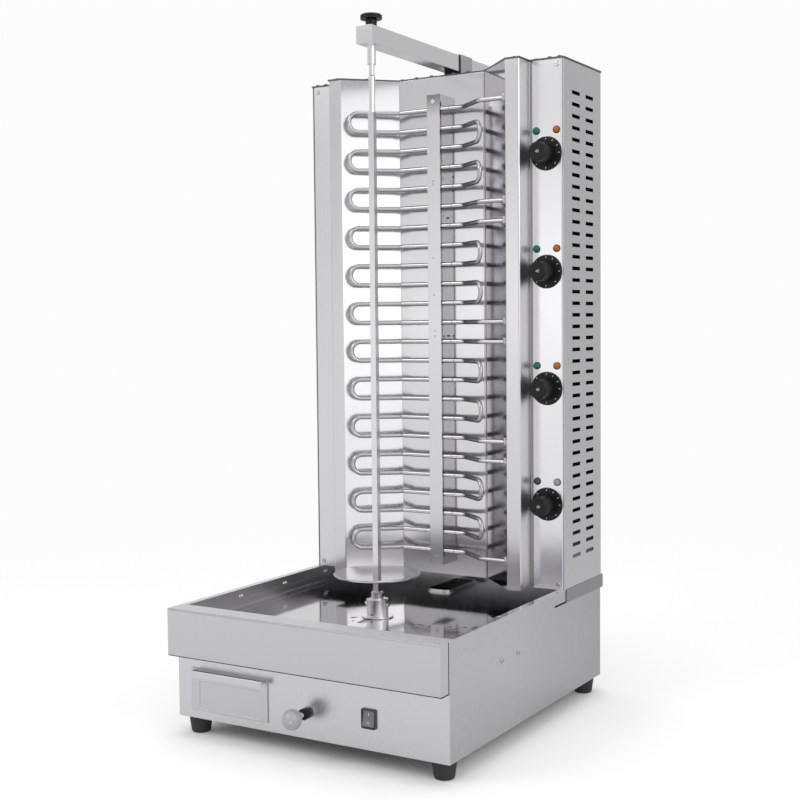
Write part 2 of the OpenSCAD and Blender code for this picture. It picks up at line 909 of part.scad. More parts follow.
module knob(i) {
    cap_z = knob_reach - grip_cap_h;
    color("black") placed() translate([dial_x, control_y - knob_gap, dial_z(i)]) rotate([90, 0, 0]) {
        cylinder(r1 = skirt_r, r2 = skirt_r - skirt_edge, h = skirt_t);
        translate([0, 0, skirt_t]) cylinder(r1 = collar_grip_r, r2 = collar_grip_r - skirt_edge,
            h = collar_grip_h);
        difference() {
            translate([0, 0, skirt_t]) cylinder(r1 = grip_r, r2 = grip_top_r, h = cap_z - skirt_t);
            translate([-pointer_w / 2, grip_top_r - pointer_deep, skirt_t + 2 * collar_grip_h])
                cube([pointer_w, grip_r, knob_reach]);
        }
        translate([0, 0, cap_z]) cylinder(r1 = grip_top_r - pointer_deep, r2 = grip_cap_r, h = grip_cap_h);
        translate([0, 0, -knob_gap - skin_t - regulator_bore_l + over])
            cylinder(r = spindle_r, h = spindle_l);
    }
}

module knob_1() knob(0);
module knob_2() knob(1);
module knob_3() knob(2);
module knob_4() knob(3);

// The rocker turns on a cross axis, its face drawn from the side as a shallow vee
module rocker() {
    w = rocker_w - 2 * slide_gap;
    h = rocker_h - 2 * slide_gap - rocker_dip;
    color("dimgray") placed() translate([switch_x - w / 2, rocker_y, switch_z]) rotate([rocker_tilt, 0, 0])
        rotate([90, 0, 90]) linear_extrude(w) polygon([
            [-rocker_rise, h / 2], [rocker_dip - rocker_rise, 0], [-rocker_rise, -h / 2], [0, -h / 2],
            [rocker_depth - rocker_rise, 0], [0, h / 2]]);
}

// Drawer

box_z = foot_h + drawer_lift;
front_back_y = -panel_gap;

module drawer_box() {
    color("lightgray") placed() difference() {
        block(drawer_x - box_w / 2, drawer_x + box_w / 2, front_back_y, drawer_d, box_z, box_z + box_h);
        block(drawer_x - box_w / 2 + box_t, drawer_x + box_w / 2 - box_t, front_back_y + box_t,
            drawer_d - box_t, box_z + box_t, box_z + box_h + over);
    }
}

module drawer_front() {
    face_y = front_back_y - front_t;
    top = drawer_z + drawer_h / 2;
    left = drawer_x - drawer_w / 2;
    right = drawer_x + drawer_w / 2;
    foot = drawer_z - drawer_h / 2;
    color("silver") placed() {
        difference() {
            block(left, right, face_y, front_back_y, foot, top);
            translate([drawer_x + (emboss_left - emboss_right) / 2, face_y + emboss_depth,
                (foot + emboss_foot + top - emboss_head) / 2]) rotate([90, 0, 0])
                linear_extrude(emboss_depth + over) rounded(drawer_w - emboss_left - emboss_right,
                    drawer_h - emboss_foot - emboss_head, emboss_round);
        }
        translate([left + lip_side, 0, 0]) rotate([90, 0, 90]) linear_extrude(drawer_w - lip_side - lip_t)
            sheet([[face_y, top], [face_y - lip_reach + front_t, top],
                [face_y - lip_reach + front_t, top - lip_drop]], lip_t);
    }
}

// Spit adjustment

module ball_knob() {
    color("lightgray") placed() translate([0, ball_y, rod_z]) rotate([-90, 0, 0]) difference() {
        sphere(ball_r);
        rod_up(adjust_r, ball_r - ball_bore_l, ball_r + over);
    }
}

module adjusting_rod() {
    color("silver") placed() rod_back(adjust_r, ball_y + ball_r - ball_bore_l, plate_front, 0, rod_z);
}

plate_z = tray_under_z - rail_drop + rail_t + slide_gap;
plate_top = plate_z + plate_t;
plate_half = rail_x - rail_t - bend_r - slide_gap;

module carriage() {
    color("gray") placed() difference() {
        union() {
            block(-plate_half, plate_half, plate_front, plate_front + plate_l, plate_z, plate_top);
            block(-carriage_skirt_w / 2, carriage_skirt_w / 2, plate_front, plate_front + plate_t,
                plate_top - skirt_drop, plate_z);
        }
        rod_up(shaft_r + shaft_bore_gap, plate_z - over, plate_top + over, 0, spit_y);
    }
}

module slot_shield() {
    shield_top = tray_under_z - shield_gap;
    color("silver") placed() difference() {
        union() {
            translate([0, spit_y + shield_y, shield_top - shield_t])
                block(-shield_w / 2, shield_w / 2, -shield_l / 2, shield_l / 2, 0, shield_t);
            rod_up(boss_r, plate_top, shield_top, 0, spit_y);
        }
        rod_up(shaft_r + slide_gap, plate_top - over, shield_top + over, 0, spit_y);
    }
}

gearbox_y = plate_front + plate_t + gearbox_front;
gearbox_z = plate_z - gearbox_h;

module gearbox() {
    color("slategray") placed() difference() {
        translate([0, gearbox_y + gearbox_l / 2, gearbox_z]) linear_extrude(gearbox_h)
            rounded(gearbox_w, gearbox_l, gearbox_round);
        rod_up(shaft_r + slide_gap, plate_z - shaft_deep - slide_gap, plate_z + over, 0, spit_y);
    }
}

module motor() {
    y = gearbox_y + gearbox_l;
    z = gearbox_z + gearbox_h / 2;
    color("black") placed() {
        rod_back(motor_r, y, y + motor_l, 0, z);
        rod_back(motor_cap_r, y + motor_l, y + motor_l + motor_cap_l, 0, z);
    }
}

// Drive and spit, one above the other on the turning axis

cup_z = tray_z + flange_lift;
cup_top = cup_z + flange_t + cup_h;
cup_bore_z = cup_z + flange_t + cup_floor;
foot_top = cup_bore_z + foot_sleeve_h;

module on_axis(z = 0) {
    translate([0, spit_y, z]) children();
}

module drive_shaft() {
    color("silver") placed() rod_up(shaft_r, plate_z - shaft_deep, cup_z + flange_t, 0, spit_y);
}

module drive_cup() {
    color("gainsboro") placed() difference() {
        on_axis() {
            rod_up(flange_r, cup_z, cup_z + flange_t);
            rod_up(cup_r, cup_z + flange_t, cup_top);
        }
        on_axis() {
            rod_up(shaft_r, cup_z - over, cup_z + flange_t);
            rod_up(foot_sleeve_r + seat_gap, cup_bore_z, cup_top + over);
            block(-cup_r - over, cup_r + over, -cup_slot_w / 2, cup_slot_w / 2, cup_top - cup_slot_deep,
                cup_top + over);
            rod_back(cup_hole_r, -cup_r - over, -foot_sleeve_r, 0, cup_z + flange_t + cup_hole_rise);
        }
    }
}

module spit_foot() {
    color("gainsboro") placed() on_axis() difference() {
        union() {
            rod_up(foot_sleeve_r, cup_bore_z, foot_top - foot_lead);
            translate([0, 0, foot_top - foot_lead])
                cylinder(r1 = foot_sleeve_r, r2 = foot_sleeve_r - foot_lead, h = foot_lead);
        }
        block(-rod_w / 2 - fit_gap, rod_w / 2 + fit_gap, -rod_w / 2 - fit_gap, rod_w / 2 + fit_gap,
            cup_bore_z + cross_rise, foot_top + over);
        rod_across(cross_r, -foot_sleeve_r - over, foot_sleeve_r + over, 0, cross_z);
    }
}

cross_z = cup_top - cup_slot_deep + cross_r + seat_gap;

module cross_pin() {
    color("silver") placed() on_axis() rod_across(cross_r, -cross_l / 2, cross_l / 2, 0, cross_z);
}

rod_foot_z = cup_bore_z + cross_rise;
rod_top = arm_z - sleeve_below - pin_show;

module spit_rod() {
    color("silver") placed() on_axis() difference() {
        union() {
            block(-rod_w / 2, rod_w / 2, -rod_w / 2, rod_w / 2, rod_foot_z, rod_top - rod_round_l);
            rod_up(rod_w / 2 - rod_round_ease, rod_top - rod_round_l, rod_top - rod_bead_l);
            rod_up(rod_bead_r, rod_top - rod_bead_l, rod_top - rod_tip_l);
            translate([0, 0, rod_top - rod_tip_l]) cylinder(r1 = rod_bead_r, r2 = rod_tip_r, h = rod_tip_l);
        }
        rod_up(rod_bore_r, rod_top - rod_bore_deep, rod_top + over);
        for (h = rod_hole_rises) rod_across(rod_hole_r, -rod_w, rod_w, 0, tray_z + h);
    }
}

module meat_disc() {
    z = tray_z + disc_rise;
    color("gainsboro") placed() on_axis() difference() {
        union() {
            rod_up(disc_r, z, z + disc_t - disc_lead);
            translate([0, 0, z + disc_t - disc_lead])
                cylinder(r1 = disc_r, r2 = disc_r - disc_lead, h = disc_lead);
        }
        block(-rod_w / 2 - fit_gap, rod_w / 2 + fit_gap, -rod_w / 2 - fit_gap, rod_w / 2 + fit_gap, z - over,
            z + disc_t + over);
    }
}

// Arm, bracket and top pin

module arm() {
    color("silver") placed() difference() {
        block(-arm_w / 2, arm_w / 2, arm_front, arm_front + arm_l, arm_z, arm_top);
        block(arm_wall - arm_w / 2, arm_w / 2 - arm_wall, arm_front + arm_wall, arm_front + arm_l + over,
            arm_z + arm_wall, arm_top - arm_wall);
        rod_up(sleeve_r, arm_z - over, arm_top + over, 0, spit_y);
    }
}

module pin_sleeve() {
    color("gainsboro") placed() on_axis() difference() {
        rod_up(sleeve_r, arm_z - sleeve_below, arm_top);
        rod_up(pin_r + fit_gap, arm_z - sleeve_below - over, arm_top + over);
    }
}

pin_tip_z = rod_top - pin_tip_l;

module top_pin() {
    color("black") placed() on_axis() {
        rod_up(pin_tip_r, pin_tip_z, rod_top + pin_gap);
        rod_up(pin_r, rod_top + pin_gap, arm_top + slide_gap);
        rod_up(hub_r, arm_top + slide_gap, arm_top + slide_gap + hub_h);
        translate([0, 0, arm_top + slide_gap + hub_h]) linear_extrude(disc_h - knob_edge)
            fluted(top_knob_r, flutes, flute_r);
        translate([0, 0, arm_top + slide_gap + hub_h + disc_h - knob_edge])
            cylinder(r1 = top_knob_r - flute_r / 2, r2 = top_knob_r - knob_edge - flute_r / 2, h = knob_edge);
    }
}

liner_half = arm_w / 2 + bracket_side;
bracket_top = arm_top + bracket_over;

module arm_liner() {
    color("black") placed() difference() {
        translate([0, bracket_y + bracket_l, (roof_z + bracket_top) / 2]) rotate([90, 0, 0])
            linear_extrude(bracket_l) rounded(2 * liner_half, bracket_top - roof_z, bend_r + slide_gap);
        block(-arm_w / 2 - seat_gap, arm_w / 2 + seat_gap, bracket_y - over, bracket_y + bracket_l + over,
            arm_z - seat_gap, arm_top + seat_gap);
    }
}

module arm_bracket() {
    color("silver") placed() translate([0, bracket_y + bracket_l, 0]) rotate([90, 0, 0])
        linear_extrude(bracket_l)
            sheet([[-liner_half - bracket_foot, roof_z], [-liner_half, roof_z], [-liner_half, bracket_top],
                [liner_half, bracket_top], [liner_half, roof_z], [liner_half + bracket_foot, roof_z]],
                bracket_t);
}

// Screws

module screw_head(r = screw_r) {
    difference() {
        cylinder(r1 = r, r2 = r - screw_head_h / 2, h = screw_head_h);
        translate([0, 0, screw_head_h - screw_recess_deep])
            cylinder(r = screw_recess_r, h = screw_head_h, $fn = 6);
    }
}

module roof_screws() {
    color("dimgray") placed() {
        for (s = [-1, 1], p = roof_screw_places) translate([s * p[0], p[1], roof_z]) screw_head();
        for (s = [-1, 1]) translate([s * (liner_half + bracket_screw), bracket_y + bracket_l / 2,
            roof_z + bracket_t]) screw_head();
    }
}

module panel_screws() {
    color("silver") placed() {
        for (s = [-1, 1], z = [rim_z + control_screw_rise, tower_z - control_screw_rise])
            translate([s * (half_w - control_screw_inset), control_y, z]) rotate([90, 0, 0]) screw_head();
        for (s = [-1, 1], i = [0, 1])
            translate([s * half_w, side_screw_y + i * side_screw_step, side_screw_z])
                rotate([0, s * 90, 0]) screw_head();
        for (z = [last_run - channel_over / 2, top_run + channel_over / 2])
            translate([0, strip_back_y - strip_t, z]) rotate([90, 0, 0]) screw_head();
    }
}

base_shell();
base_bottom();
front_panel();
apron();
drip_tray();
drain_collar();
drain_chute();
drawer_guides();
carriage_rails();
rod_bush();
switch_bezel();
feet();
cable_gland();
terminal_block();
tower_side_right();
tower_side_left();
control_panel();
plain_panel();
rear_panel();
roof();
joint_band();
reflector_back();
reflector_right();
reflector_left();
heating_element_1();
heating_element_2();
heating_element_3();
heating_element_4();
element_collars();
element_channel();
element_strip();
regulators();
lamps_green();
lamps_amber();
arm_bracket();
arm_liner();
roof_screws();
panel_screws();
drawer_box();
drawer_front();
rocker();
knob_1();
knob_2();
knob_3();
knob_4();
ball_knob();
adjusting_rod();
carriage();
slot_shield();
gearbox();
motor();
drive_shaft();
drive_cup();
spit_foot();
cross_pin();
spit_rod();
meat_disc();
arm();
pin_sleeve();
top_pin();
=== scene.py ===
import math

import bmesh
import bpy
from mathutils import Matrix, Vector


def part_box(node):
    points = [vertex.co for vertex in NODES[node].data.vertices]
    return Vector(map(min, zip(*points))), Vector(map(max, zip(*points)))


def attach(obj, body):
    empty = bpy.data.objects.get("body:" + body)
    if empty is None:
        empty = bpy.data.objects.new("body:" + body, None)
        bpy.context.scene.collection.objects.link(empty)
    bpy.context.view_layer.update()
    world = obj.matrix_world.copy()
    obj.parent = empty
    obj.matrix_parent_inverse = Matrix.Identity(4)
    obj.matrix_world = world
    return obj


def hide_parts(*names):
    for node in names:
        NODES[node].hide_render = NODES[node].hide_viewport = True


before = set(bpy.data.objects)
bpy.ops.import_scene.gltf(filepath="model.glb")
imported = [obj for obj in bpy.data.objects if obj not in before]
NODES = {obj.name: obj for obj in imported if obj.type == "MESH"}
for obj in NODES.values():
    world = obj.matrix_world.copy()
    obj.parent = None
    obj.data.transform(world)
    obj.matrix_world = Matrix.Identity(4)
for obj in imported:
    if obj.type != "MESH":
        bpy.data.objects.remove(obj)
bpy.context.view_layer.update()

MM = 0.001
AXIS_Y, AXIS_Z = 1, 2
FRONT_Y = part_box("front_panel")[0].y / MM
SCENE = bpy.context.scene


def at(x, y, z):
    """A place in millimetres, with y counted from the lower front panel, as a point of the frame."""
    return Vector((x, y + FRONT_Y, z)) * MM


# Camera, fitted to the photograph

CAMERA_AT = (1161.58, -1637.22, 675.7)
FOCAL_PX = 1304.436
IMAGE_PX = 800
SENSOR = 36.0
YAW, PITCH, ROLL = math.radians(31.031), math.radians(-3.365), math.radians(-0.545)


def camera_turn():
    """The camera's directions to the right, up and forward."""
    forward = Vector((-math.sin(YAW) * math.cos(PITCH), math.cos(YAW) * math.cos(PITCH), math.sin(PITCH)))
    level = forward.cross(Vector((0, 0, 1))).normalized()
    upright = level.cross(forward)
    right = math.cos(ROLL) * level + math.sin(ROLL) * upright
    up = math.cos(ROLL) * upright - math.sin(ROLL) * level
    return right, up, forward


def seen_on(axis, level, pixel):
    """The place that the photograph shows at a pixel, on the plane across an axis at a level."""
    right, up, forward = camera_turn()
    column, row = (value - IMAGE_PX / 2 for value in pixel)
    ray = forward + (right * column - up * row) / FOCAL_PX
    reach = (level - CAMERA_AT[axis]) / ray[axis]
    return at(*(Vector(CAMERA_AT) + ray * reach))


def make_camera():
    """The camera of the photograph."""
    right, up, forward = camera_turn()
    data = bpy.data.cameras.new("camera")
    data.sensor_fit = "HORIZONTAL"
    data.sensor_width = SENSOR
    data.lens = FOCAL_PX / IMAGE_PX * SENSOR
    data.clip_end = 50
    camera = bpy.data.objects.new("camera", data)
    camera.matrix_world = Matrix.Translation(at(*CAMERA_AT)) @ Matrix(
        (right, up, -forward)).transposed().to_4x4()
    SCENE.collection.objects.link(camera)
    SCENE.camera = camera


make_camera()


# Node helpers

class Tree:
    """A small builder for a node tree: node(type, {input: value or socket}, {attribute: value})."""

    def __init__(self, tree):
        self.tree = tree
        self.tree.nodes.clear()

    def node(self, kind, inputs=None, settings=None):
        made = self.tree.nodes.new(kind)
        for key, value in (settings or {}).items():
            setattr(made, key, value)
        for key, value in (inputs or {}).items():
            if isinstance(value, bpy.types.NodeSocket):
                self.tree.links.new(value, made.inputs[key])
            else:
                made.inputs[key].default_value = value
        return made

    def math(self, operation, *values):
        return self.node("ShaderNodeMath", dict(enumerate(values)), {"operation": operation}).outputs[0]

    def ramp(self, fac, low, high, out_low, out_high):
        return self.node("ShaderNodeMapRange", {
            "Value": fac, "From Min": low, "From Max": high, "To Min": out_low, "To Max": out_high}).outputs[0]

    def noise(self, coords, scale, detail=2.0, stretch=(1, 1, 1), rough=0.5):
        mapped = self.node("ShaderNodeMapping", {"Vector": coords, "Scale": stretch}).outputs[0]
        return self.node("ShaderNodeTexNoise", {
            "Vector": mapped, "Scale": scale, "Detail": detail, "Roughness": rough}).outputs["Fac"]

    def mix_color(self, fac, a, b):
        made = self.node("ShaderNodeMix", {"Factor": fac}, {"data_type": "RGBA"})
        for index, value in ((6, a), (7, b)):
            if isinstance(value, bpy.types.NodeSocket):
                self.tree.links.new(value, made.inputs[index])
            else:
                made.inputs[index].default_value = (*value, 1)
        return made.outputs[2]


# Kinds of look

LINE_SCALE, CLOUD_SCALE, SMEAR_SCALE, WAVE_SCALE = 2600, 6, 38, 3.2
CLOUD_SHARE, LINE_SHARE = 0.7, 0.3
SMEAR = 0.05
# Painted shade line along a lower edge: how dark it is, and how softly it fades.
SHADE_LINE_SHARE = 0.04
SHADE_LINE_SOFT = 0.6
BUMP_DEPTH = 0.0002
LENS_ROUGH, LENS_SHINE = 0.15, 0.25


def new_material(name):
    """An empty material and the builder for its nodes."""
    material = bpy.data.materials.new(name)
    material.use_nodes = True
    return material, Tree(material.node_tree)


def finish_material(material, tree, shader):
    """The material with the shader on its surface."""
    tree.node("ShaderNodeOutputMaterial", {"Surface": shader})
    return material


def grey(value):
    """The faintly cool grey of the steel."""
    return (value, value * 0.99, value * 1.02)


def along(t, coords, axis, start, end, out_start=0.0, out_end=1.0):
    """A value that changes evenly over one stretch of an axis of the frame."""
    place = t.node("ShaderNodeSeparateXYZ", {0: coords}).outputs[axis]
    return t.ramp(place, start, end, out_start, out_end)


def rearward(t, coords, start, end, out_end=1.0):
    """A value that grows from nothing between two depths, in millimetres behind the lower front panel."""
    return along(t, coords, "Y", at(0, start, 0).y, at(0, end, 0).y, 0.0, out_end)


def steel(name, tone, rough, grain=(1, 1, 60), grain_depth=0.003, tone_depth=0.012, wave=0.0, edge=0.0,
          rim_shade_tint=None, shade_line=None, head=None, dull_rear=None, rear_shade=None):
    """Stainless steel: fine brushed lines in gloss and tone, soft smears, sheet waviness and rounded edges,
    with painted shade where asked: darker towards the top, towards the rear and below a level line, and dark
    reflections at grazing angles.
    """
    material, t = new_material(name)
    coords = t.node("ShaderNodeTexCoord").outputs["Object"]
    lines = t.noise(coords, LINE_SCALE, 3.0, tuple(1 / g for g in grain))
    cloud = t.noise(coords, CLOUD_SCALE, 3.0)
    smear = t.noise(coords, SMEAR_SCALE, 4.0, (1, 1, 0.35))
    tone_fac = t.math("ADD", t.math("MULTIPLY", cloud, CLOUD_SHARE), t.math("MULTIPLY", lines, LINE_SHARE))
    color = t.mix_color(tone_fac, grey(tone * (1 - tone_depth)), grey(tone * (1 + tone_depth)))
    # Painted shade: the colour darkens towards the top.
    if head:
        top, below, share = head
        color = t.mix_color(along(t, coords, "Z", below, top), color, grey(tone * share))
    # Painted shade: the colour darkens towards the rear.
    if rear_shade:
        start, end, share = rear_shade
        color = t.mix_color(rearward(t, coords, start, end), color, grey(tone * share))
    # Painted shade: nearly black below a level, for the shadow line along a lower edge.
    if shade_line:
        below = along(t, coords, "Z", shade_line - SHADE_LINE_SOFT * MM, shade_line + SHADE_LINE_SOFT * MM, 1.0, 0.0)
        color = t.mix_color(below, color, grey(tone * SHADE_LINE_SHARE))
    rough_fac = t.math("ADD", t.math("MULTIPLY", lines, 0.5), t.math("MULTIPLY", smear, 0.5))
    roughness = t.ramp(rough_fac, 0.25, 0.75, rough * (1 - SMEAR), rough * (1 + SMEAR))
    if dull_rear:
        roughness = t.math("ADD", roughness, rearward(t, coords, *dull_rear))
    inputs = {"Base Color": color, "Metallic": 1.0, "Roughness": roughness}
    # Painted shade: a dark tint on the reflections at grazing angles gives dark edges.
    if rim_shade_tint is not None:
        inputs["Specular Tint"] = (rim_shade_tint, rim_shade_tint, rim_shade_tint, 1)
    normal = steel_normal(t, coords, lines, grain_depth, wave, edge)
    if normal:
        inputs["Normal"] = normal
    return finish_material(material, t, t.node("ShaderNodeBsdfPrincipled", inputs).outputs[0])


def steel_normal(t, coords, lines, grain_depth, wave, edge):
    """The rounded edges, the grain and the waviness of a steel sheet, one laid over the other."""
    normal = None
    if edge:
        normal = t.node("ShaderNodeBevel", {"Radius": edge}, {"samples": 4}).outputs[0]
    for height, depth in ((lines, grain_depth * MM), (t.noise(coords, WAVE_SCALE, 2.0), wave)):
        if depth:
            settings = {"Strength": 1.0, "Distance": depth, "Height": height}
            if normal:
                settings["Normal"] = normal
            normal = t.node("ShaderNodeBump", settings).outputs[0]
    return normal


def plastic(name, color, rough, coat=0.0, grain=900, depth=0.15, spread=0.12, shine=0.5):
    """Moulded plastic or rubber: fine grain, slight unevenness of tone and gloss."""
    material, t = new_material(name)
    coords = t.node("ShaderNodeTexCoord").outputs["Object"]
    fine = t.noise(coords, grain, 2.0)
    cloud = t.noise(coords, 30, 3.0)
    tint = t.mix_color(cloud, tuple(c * (1 - spread) for c in color), tuple(c * (1 + spread) for c in color))
    bump = t.node("ShaderNodeBump", {"Strength": depth, "Distance": BUMP_DEPTH, "Height": fine}).outputs[0]
    return finish_material(material, t, t.node("ShaderNodeBsdfPrincipled", {
        "Base Color": tint, "Roughness": t.ramp(cloud, 0.3, 0.7, rough * 0.9, rough * 1.1),
        "Specular IOR Level": shine, "Coat Weight": coat, "Coat Roughness": 0.1, "Normal": bump}).outputs[0])


def lens(name, color, light):
    """A coloured lamp lens with lighter speckles as painted glints, darker towards its rim as painted shade.
    """
    material, t = new_material(name)
    rim_shade_share = t.node("ShaderNodeLayerWeight", {"Blend": 0.35}).outputs["Facing"]
    coords = t.node("ShaderNodeTexCoord").outputs["Object"]
    glint_spots = t.noise(coords, 700, 2.0)
    body = t.mix_color(rim_shade_share, color, tuple(c * 0.35 for c in color))
    shade = t.mix_color(t.ramp(glint_spots, 0.3, 0.7, 0, 0.25), body, light)
    return finish_material(material, t, t.node("ShaderNodeBsdfPrincipled", {
        "Base Color": shade, "Roughness": LENS_ROUGH, "Specular IOR Level": LENS_SHINE}).outputs[0])


# Looks of the pieces

# Painted shade: the lowest few millimetres of the apron are darkened to a shadow line.
SHADE_LINE_RISE = 2.2
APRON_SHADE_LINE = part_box("apron")[0].z + SHADE_LINE_RISE * MM

SATIN = steel("satin_steel", 0.66, 0.27, (1, 1, 80), 0.0004, 0.008, wave=0.0012)
FRONT = steel("front_steel", 0.68, 0.27, (1, 1, 80), 0.0015, 0.008, wave=0.0012, edge=0.0012)
# Painted shade: a darker copy of the front panel's steel for the sides of the base, darkening further towards
# the rear.
BASE = steel("base_steel", 0.56, 0.27, (1, 1, 80), 0.0015, 0.008, wave=0.0012, edge=0.0012,
             rear_shade=(200, 560, 0.78))
# A darker copy of the steel for the joint band, and painted shade on two bends: where a wing meets the control
# panel, and at the control panel's left.
BAND_AND_BEND_SHADE = steel("band_and_bend_shade_steel", 0.3, 0.3, (60, 60, 1), wave=0.001, edge=0.001)
CONTROL = steel("control_steel", 0.77, 0.2, (1, 1, 80), 0.002, 0.008, wave=0.001, edge=0.0012)
# The apron's steel, with the painted shadow line along its lower edge.
SATIN_ACROSS = steel("satin_steel_across", 0.6, 0.3, (80, 80, 1), 0.0012, 0.008, wave=0.0008, shade_line=APRON_SHADE_LINE)
# Painted shade: a darker copy of the apron's steel for the bend at its top.
SHADED_APRON_BEND = steel("shaded_apron_bend_steel", 0.42, 0.45, (80, 80, 1), 0.0012, 0.008)
# Painted light: a lighter copy of the apron's steel for its flat top, which faces up.
LIT_APRON_TOP = steel("lit_apron_top_steel", 0.66, 0.45, (80, 80, 1), 0.0012, 0.008)
LIP = steel("drawer_steel", 0.62, 0.3, (80, 80, 1), 0.001, 0.008, wave=0.0004, edge=0.0014)
# Painted light: a lighter copy of the drawer's steel for the face of its bent lip.
LIT_LIP_FACE = steel("lit_lip_steel", 0.67, 0.3, (80, 80, 1), 0.001, 0.008)
BACK = steel("reflector_back_steel", 0.66, 0.15, (1, 1, 60), wave=0.002, edge=0.001)
MIRROR = steel("mirror_steel", 0.68, 0.09, (1, 1, 60), 0.003, 0.01, wave=0.003, edge=0.001)
# Painted light and shade: the left wing is a lighter copy of the mirror steel, darkening towards its top under
# the roof.
SOFT_MIRROR = steel("soft_mirror_steel", 0.84, 0.17, (1, 1, 60), 0.003, 0.01, wave=0.003, edge=0.001,
                    head=(1.1, 0.9, 0.72))
RETURN = steel("return_steel", 0.78, 0.4, (1, 1, 60), 0.002, 0.01)
STRIP = steel("strip_steel", 0.64, 0.2, (1, 1, 60), 0.003, 0.015, wave=0.001, edge=0.0006)
# Painted shade: the element strip darkens towards its top, under the roof.
STRIP_TOP = steel("element_strip_steel", 0.64, 0.2, (1, 1, 60), 0.003, 0.015, wave=0.001, edge=0.0006,
                  head=(1.08, 1.045, 0.4))
SIDE = steel("side_steel", 0.58, 0.27, (1, 1, 80), 0.0015, 0.008, wave=0.0012, edge=0.0003)
TRAY = steel("tray_steel", 0.63, 0.08, (1, 60, 1), 0.0006, 0.01, wave=0.0015, edge=0.0008,
             dull_rear=(330, 430, 0.17))
TRAY_WALL = steel("tray_wall_steel", 0.6, 0.3, (1, 60, 1), 0.001, 0.01)
DISC = steel("disc_steel", 0.5, 0.13, (1, 60, 1), 0.002, 0.01, wave=0.002, edge=0.0008)
PLAIN = steel("plain_steel", 0.45, 0.35, (60, 1, 1), 0.01, 0.04)
ROOF = steel("roof_steel", 0.12, 0.45, (60, 1, 1), 0.01, 0.1)
BRIGHT = steel("bright_steel", 0.72, 0.16, (1, 1, 1), 0.005, 0.03, edge=0.0006)
SCREW = steel("screw_steel", 0.5, 0.25, (1, 1, 1), 0.02, 0.05)
DARK_SCREW = steel("dark_screw", 0.12, 0.4, (1, 1, 1), 0.02, 0.1)
# Painted shade: the dark grazing tint gives the element tubes dark edges.
SHEATH = steel("element_sheath", 0.5, 0.24, (1, 1, 1), 0.01, 0.1, rim_shade_tint=0.15)
CRIMP = steel("crimp_steel", 0.2, 0.35, (1, 1, 1), 0.01, 0.1)
BLACK = plastic("black_plastic", (0.006, 0.006, 0.007), 0.36, shine=0.28)
GLOSSY_BLACK = plastic("glossy_black", (0.015, 0.015, 0.016), 0.25, 0.3)
RUBBER = plastic("rubber", (0.025, 0.025, 0.027), 0.6)
CERAMIC = plastic("ceramic", (0.75, 0.7, 0.62), 0.5)
BALL = plastic("ball_grey", (0.4, 0.395, 0.42), 0.3, 0.5, 400, 0.02)
SMOKE = plastic("smoked_grey", (0.16, 0.16, 0.17), 0.25, 0.4)
# White for printed marks, and for painted highlights on the ball and on the tray's walls.
WHITE_MARK_AND_HIGHLIGHT = plastic("white_mark_and_highlight", (0.8, 0.8, 0.78), 0.5)
# Painted shade: near-black for faces that lie in shade, inside the closed tower, in the slots and the drain,
# and for small holes.
PAINTED_SHADE = plastic("painted_shade", (0.012, 0.012, 0.013), 0.6)
GREEN = lens("green_lens", (0.002, 0.17, 0.11), (0.01, 0.36, 0.26))
GREEN_OFF = lens("green_lens_off", (0.05, 0.075, 0.06), (0.1, 0.15, 0.12))
AMBER = lens("amber_lens", (0.42, 0.1, 0.001), (0.75, 0.25, 0.004))
AMBER_OFF = lens("amber_lens_off", (0.32, 0.32, 0.32), (0.5, 0.5, 0.5))
# Painted light: a mid grey for the drain's rear wall, lighter than the painted shade of the rest of the drain.
LIT_CHUTE_WALL = plastic("lit_chute_wall", (0.3, 0.3, 0.31), 0.6)
# Painted light: a pale diffuse grey that lifts the slot shield out of the shade under the tray.
LIT_SHIELD = plastic("lit_shield", (0.6, 0.6, 0.62), 0.5)
SPECK = plastic("speck_dark", (0.08, 0.08, 0.085), 0.5, shine=0.2)
HOUSING = plastic("cast_housing", (0.35, 0.36, 0.37), 0.5, 0.0, 500, 0.4)
MOTOR = plastic("motor_black", (0.03, 0.03, 0.035), 0.4)

LOOKS = {
    SATIN: ["rear_panel", "plain_panel"],
    FRONT: ["front_panel"],
    BASE: ["base_shell"],
    BAND_AND_BEND_SHADE: ["joint_band"],
    CONTROL: ["control_panel"],
    SATIN_ACROSS: ["apron"],
    LIP: ["drawer_front"],
    BACK: ["reflector_back"],
    MIRROR: ["reflector_right"],
    SOFT_MIRROR: ["reflector_left"],
    STRIP: ["element_channel"],
    STRIP_TOP: ["element_strip"],
    SIDE: ["tower_side_right", "tower_side_left"],
    TRAY: ["drip_tray", "drain_collar"],
    DISC: ["meat_disc"],
    # The drain's inside is painted near-black as shade.
    PAINTED_SHADE: ["drain_chute"],
    PLAIN: ["base_bottom", "drawer_guides", "carriage_rails", "drawer_box", "carriage", "arm_bracket"],
    LIT_SHIELD: ["slot_shield"],
    ROOF: ["roof"],
    BRIGHT: ["element_collars", "adjusting_rod", "drive_shaft", "cross_pin", "spit_rod", "arm", "drive_cup",
             "spit_foot", "pin_sleeve"],
    SCREW: ["panel_screws"],
    DARK_SCREW: ["roof_screws"],
    SHEATH: ["heating_element_1", "heating_element_2", "heating_element_3", "heating_element_4"],
    BLACK: ["rod_bush", "cable_gland", "knob_1", "knob_2", "knob_3", "knob_4", "top_pin", "arm_liner"],
    GLOSSY_BLACK: ["switch_bezel"],
    RUBBER: ["feet"],
    CERAMIC: ["terminal_block"],
    MOTOR: ["motor", "regulators"],
    SMOKE: ["rocker"],
    BALL: ["ball_knob"],
    HOUSING: ["gearbox"],
}

for look, names in LOOKS.items():
    for name in names:
        mesh = NODES[name].data
        mesh.materials.clear()
        mesh.materials.append(look)


